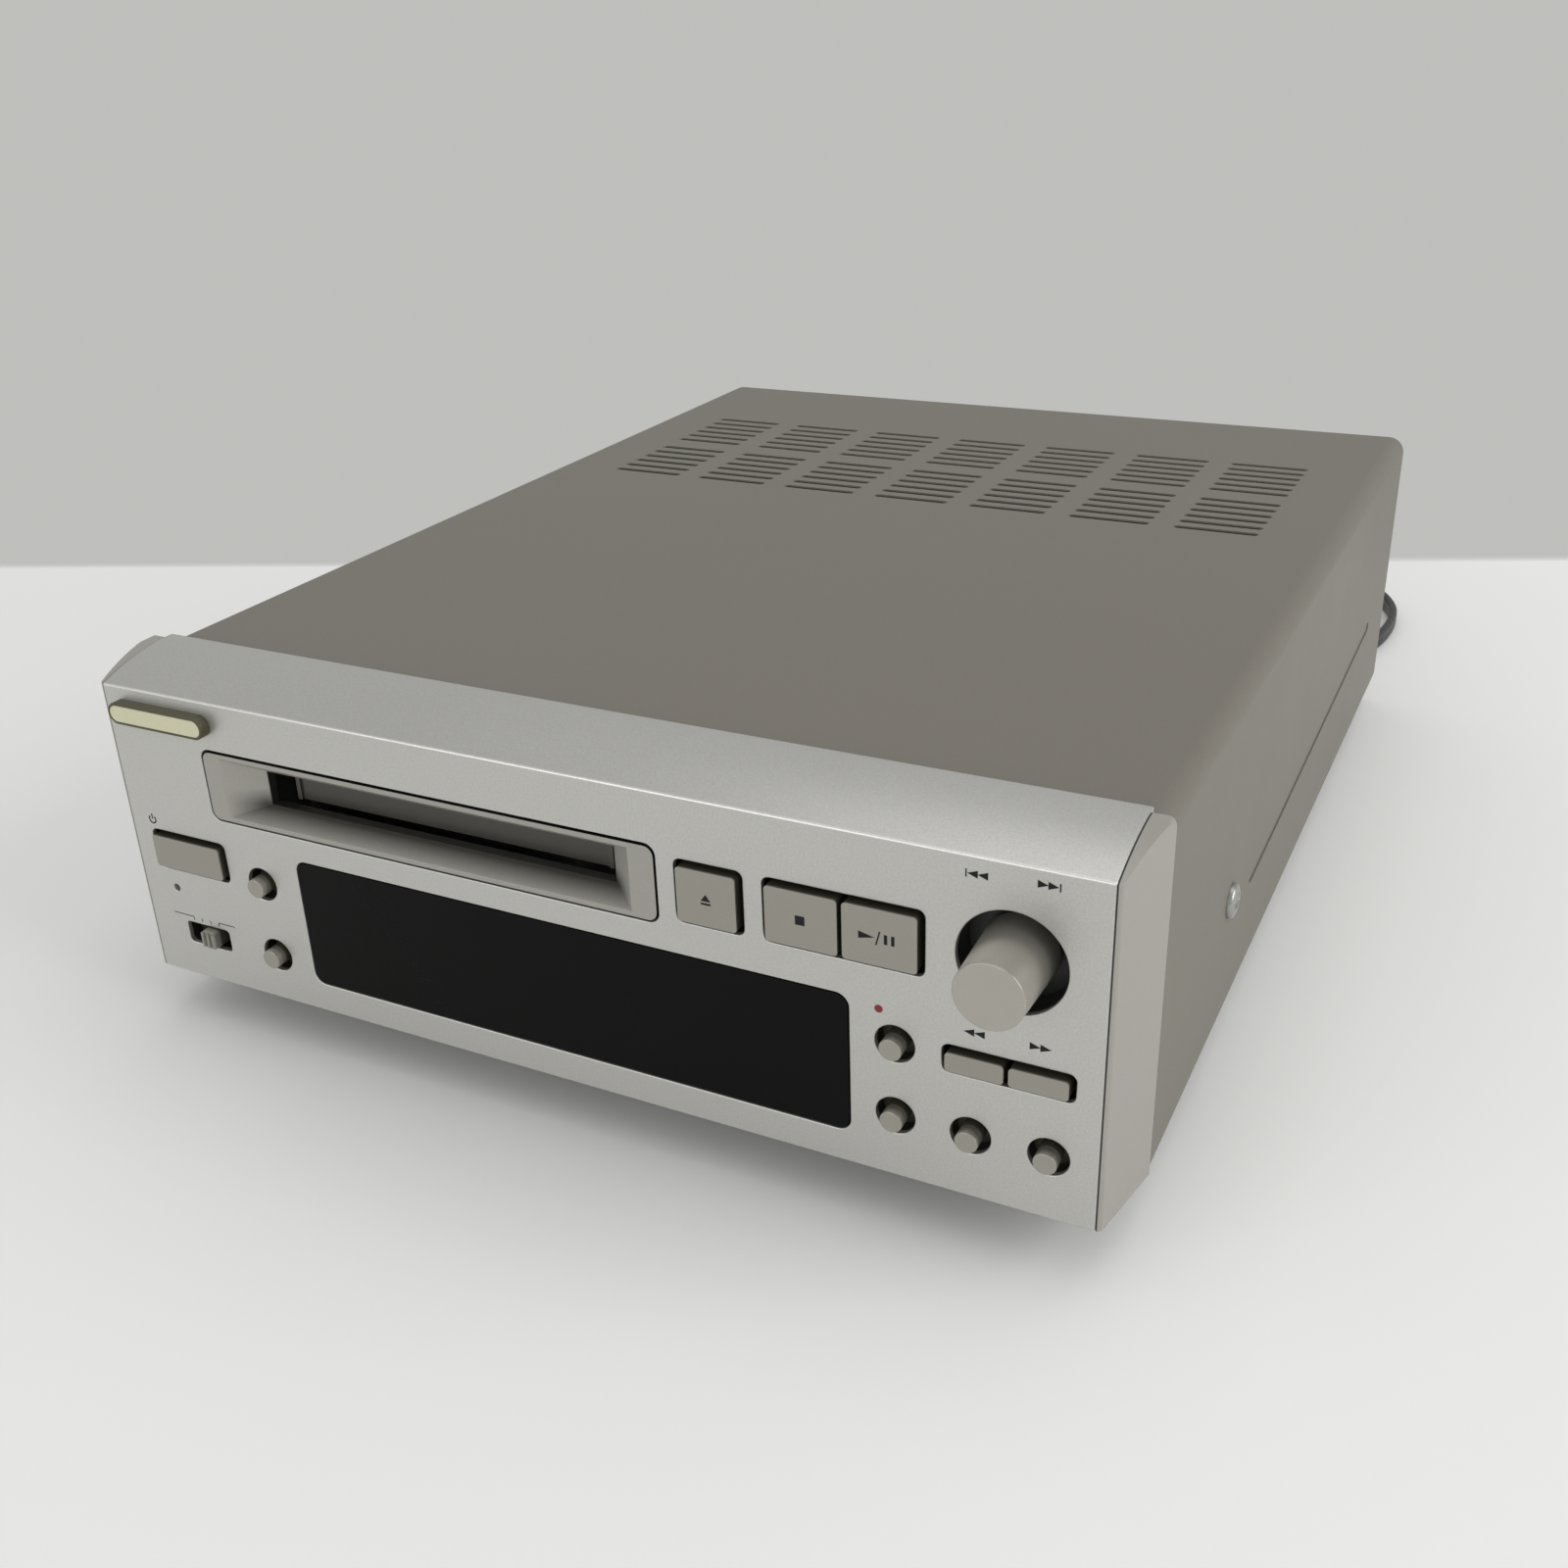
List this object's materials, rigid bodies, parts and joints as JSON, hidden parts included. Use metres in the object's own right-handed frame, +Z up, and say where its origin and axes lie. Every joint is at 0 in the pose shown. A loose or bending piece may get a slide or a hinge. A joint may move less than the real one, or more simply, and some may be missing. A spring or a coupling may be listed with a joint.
{
  "type": "minidisc deck",
  "caption": "Half-width slot-loading disc deck with a crowned aluminium front, smoked display window, push keys, a jog knob and a vented steel case.",
  "frame": {"origin": "centre of the footprint at the underside of the feet, measured without the mains lead", "axes": "+Z up, front faces -Y, +X to the right seen from the front"},
  "size_m": [0.2058, 0.3734, 0.0767],
  "materials": {
    "aluminium_skin": "satin bead-blasted and anodised",
    "black_plastic": "moulded",
    "brass": "nickel over brass",
    "bright_steel": "polished",
    "case_paint": "fine matt paint",
    "core_steel": "laminated",
    "green_board": "solder mask",
    "key_plastic": "champagne silver paint",
    "lead_sheath": "satin",
    "lens": "coated",
    "red_lamp": "tinted clear",
    "rubber": "matt",
    "silver_plastic": "silver paint",
    "smoked_window": "polished, smoked",
    "tube_glass": "clear over grey",
    "white_plastic": "moulded",
    "zinc_steel": "zinc plated"
  },
  "bodies": {
    "chassis": {"top_cover": "case_paint", "chassis_pan": "zinc_steel", "rear_panel": "case_paint", "front_frame": "silver_plastic", "front_panel": "aluminium_skin", "display_window": "smoked_window", "slot_bezel": "silver_plastic", "encoder_body": "black_plastic", "standby_lamp": "red_lamp", "display_tube": "tube_glass", "control_board": "green_board", "switches": "black_plastic", "mech_frame": "zinc_steel", "mech_posts": "brass", "loading_motor": "bright_steel", "spindle_motor": "bright_steel", "guide_rods": "bright_steel", "sled_motor": "bright_steel", "main_board": "green_board", "board_parts": "black_plastic", "heat_sink": "aluminium_skin", "transformer": "core_steel", "phono_sockets": "black_plastic", "signal_sockets": "black_plastic", "feet": "black_plastic", "foot_pads": "rubber", "screws": "bright_steel", "strain_relief": "lead_sheath", "mains_lead": "lead_sheath", "mains_lead_coil": "lead_sheath", "lead_tie": "lead_sheath", "mains_plug": "lead_sheath", "plug_blades": "brass"},
    "power_key": {"power_key": "key_plastic"},
    "eject_key": {"eject_key": "key_plastic"},
    "stop_key": {"stop_key": "key_plastic"},
    "play_key": {"play_key": "key_plastic"},
    "rewind_key": {"rewind_key": "key_plastic"},
    "forward_key": {"forward_key": "key_plastic"},
    "dubbing_key": {"dubbing_key": "key_plastic"},
    "input_key": {"input_key": "key_plastic"},
    "record_key": {"record_key": "key_plastic"},
    "display_key": {"display_key": "key_plastic"},
    "edit_key": {"edit_key": "key_plastic"},
    "confirm_key": {"confirm_key": "key_plastic"},
    "mode_slider": {"mode_slider": "key_plastic"},
    "knob_push": {"encoder_plunger": "white_plastic"},
    "knob": {"jog_knob": "silver_plastic", "encoder_shaft": "bright_steel"},
    "slot_door": {"slot_door": "key_plastic"},
    "cams": {"left_cam_plate": "zinc_steel", "right_cam_plate": "zinc_steel"},
    "holder": {"disc_holder": "zinc_steel"},
    "loading_gear": {"loading_gear": "white_plastic"},
    "loading_worm": {"loading_worm": "white_plastic"},
    "turntable": {"turntable": "white_plastic"},
    "sled": {"pickup_sled": "black_plastic", "pickup_lens": "lens"},
    "sled_screw": {"sled_screw": "bright_steel"},
    "head_arm": {"head_arm": "zinc_steel"}
  },
  "joints": [
    {"name": "power_key_press", "type": "slide", "parent": "chassis", "child": "power_key", "axis": [0, 1, 0], "range_m": [0, 0.0007], "stiffness_N_per_m": 600},
    {"name": "eject_key_press", "type": "slide", "parent": "chassis", "child": "eject_key", "axis": [0, 1, 0], "range_m": [0, 0.0007], "stiffness_N_per_m": 600},
    {"name": "stop_key_press", "type": "slide", "parent": "chassis", "child": "stop_key", "axis": [0, 1, 0], "range_m": [0, 0.0007], "stiffness_N_per_m": 600},
    {"name": "play_key_press", "type": "slide", "parent": "chassis", "child": "play_key", "axis": [0, 1, 0], "range_m": [0, 0.0007], "stiffness_N_per_m": 600},
    {"name": "rewind_key_press", "type": "slide", "parent": "chassis", "child": "rewind_key", "axis": [0, 1, 0], "range_m": [0, 0.0007], "stiffness_N_per_m": 600},
    {"name": "forward_key_press", "type": "slide", "parent": "chassis", "child": "forward_key", "axis": [0, 1, 0], "range_m": [0, 0.0007], "stiffness_N_per_m": 600},
    {"name": "dubbing_key_press", "type": "slide", "parent": "chassis", "child": "dubbing_key", "axis": [0, 1, 0], "range_m": [0, 0.0007], "stiffness_N_per_m": 600},
    {"name": "input_key_press", "type": "slide", "parent": "chassis", "child": "input_key", "axis": [0, 1, 0], "range_m": [0, 0.0007], "stiffness_N_per_m": 600},
    {"name": "record_key_press", "type": "slide", "parent": "chassis", "child": "record_key", "axis": [0, 1, 0], "range_m": [0, 0.0007], "stiffness_N_per_m": 600},
    {"name": "display_key_press", "type": "slide", "parent": "chassis", "child": "display_key", "axis": [0, 1, 0], "range_m": [0, 0.0007], "stiffness_N_per_m": 600},
    {"name": "edit_key_press", "type": "slide", "parent": "chassis", "child": "edit_key", "axis": [0, 1, 0], "range_m": [0, 0.0007], "stiffness_N_per_m": 600},
    {"name": "confirm_key_press", "type": "slide", "parent": "chassis", "child": "confirm_key", "axis": [0, 1, 0], "range_m": [0, 0.0007], "stiffness_N_per_m": 600},
    {"name": "mode_slide", "type": "slide", "parent": "chassis", "child": "mode_slider", "axis": [1, 0, 0], "range_m": [-0.0044, 0.0022]},
    {"name": "knob_press", "type": "slide", "parent": "chassis", "child": "knob_push", "axis": [0, 1, 0], "range_m": [0, 0.0006], "stiffness_N_per_m": 900},
    {"name": "knob_turn", "type": "hinge", "parent": "knob_push", "child": "knob", "pos_m": [0.0834, -0.12925, 0.0561], "axis": [0, 1, 0], "continuous": true},
    {"name": "door_swing", "type": "hinge", "parent": "chassis", "child": "slot_door", "pos_m": [-0.0252, -0.12095, 0.06085], "axis": [1, 0, 0], "range_deg": [0, 78], "stiffness_Nm_per_rad": 0.0015},
    {"name": "cam_slide", "type": "slide", "parent": "chassis", "child": "cams", "axis": [0, 1, 0], "range_m": [0, 0.014]},
    {"name": "holder_lower", "type": "slide", "parent": "chassis", "child": "holder", "axis": [0, 0, 1], "range_m": [-0.006, 0]},
    {"name": "gear_turn", "type": "hinge", "parent": "chassis", "child": "loading_gear", "pos_m": [0.0138, -0.04325, 0.0384], "axis": [1, 0, 0], "range_deg": [-134, 1]},
    {"name": "worm_turn", "type": "hinge", "parent": "chassis", "child": "loading_worm", "pos_m": [0.0135, -0.04325, 0.0294], "axis": [0, 1, 0], "range_deg": [-1, 536]},
    {"name": "disc_turn", "type": "hinge", "parent": "chassis", "child": "turntable", "pos_m": [-0.0252, -0.0742, 0.0378], "axis": [0, 0, 1], "continuous": true},
    {"name": "sled_travel", "type": "slide", "parent": "chassis", "child": "sled", "axis": [1, 0, 0], "range_m": [0, 0.014]},
    {"name": "screw_turn", "type": "hinge", "parent": "chassis", "child": "sled_screw", "pos_m": [-0.0052, -0.0562, 0.0418], "axis": [1, 0, 0], "range_deg": [-1, 1681]},
    {"name": "head_lower", "type": "hinge", "parent": "sled", "child": "head_arm", "pos_m": [-0.0092, -0.0282, 0.0628], "axis": [1, 0, 0], "range_deg": [0, 9]}
  ],
  "couplings": [
    {"joint": "holder_lower", "follows": "cam_slide", "ratio": -0.42857},
    {"joint": "gear_turn", "follows": "cam_slide", "rad_per_m": -166.67},
    {"joint": "worm_turn", "follows": "cam_slide", "rad_per_m": 666.67},
    {"joint": "screw_turn", "follows": "sled_travel", "rad_per_m": 2094.4}
  ]
}
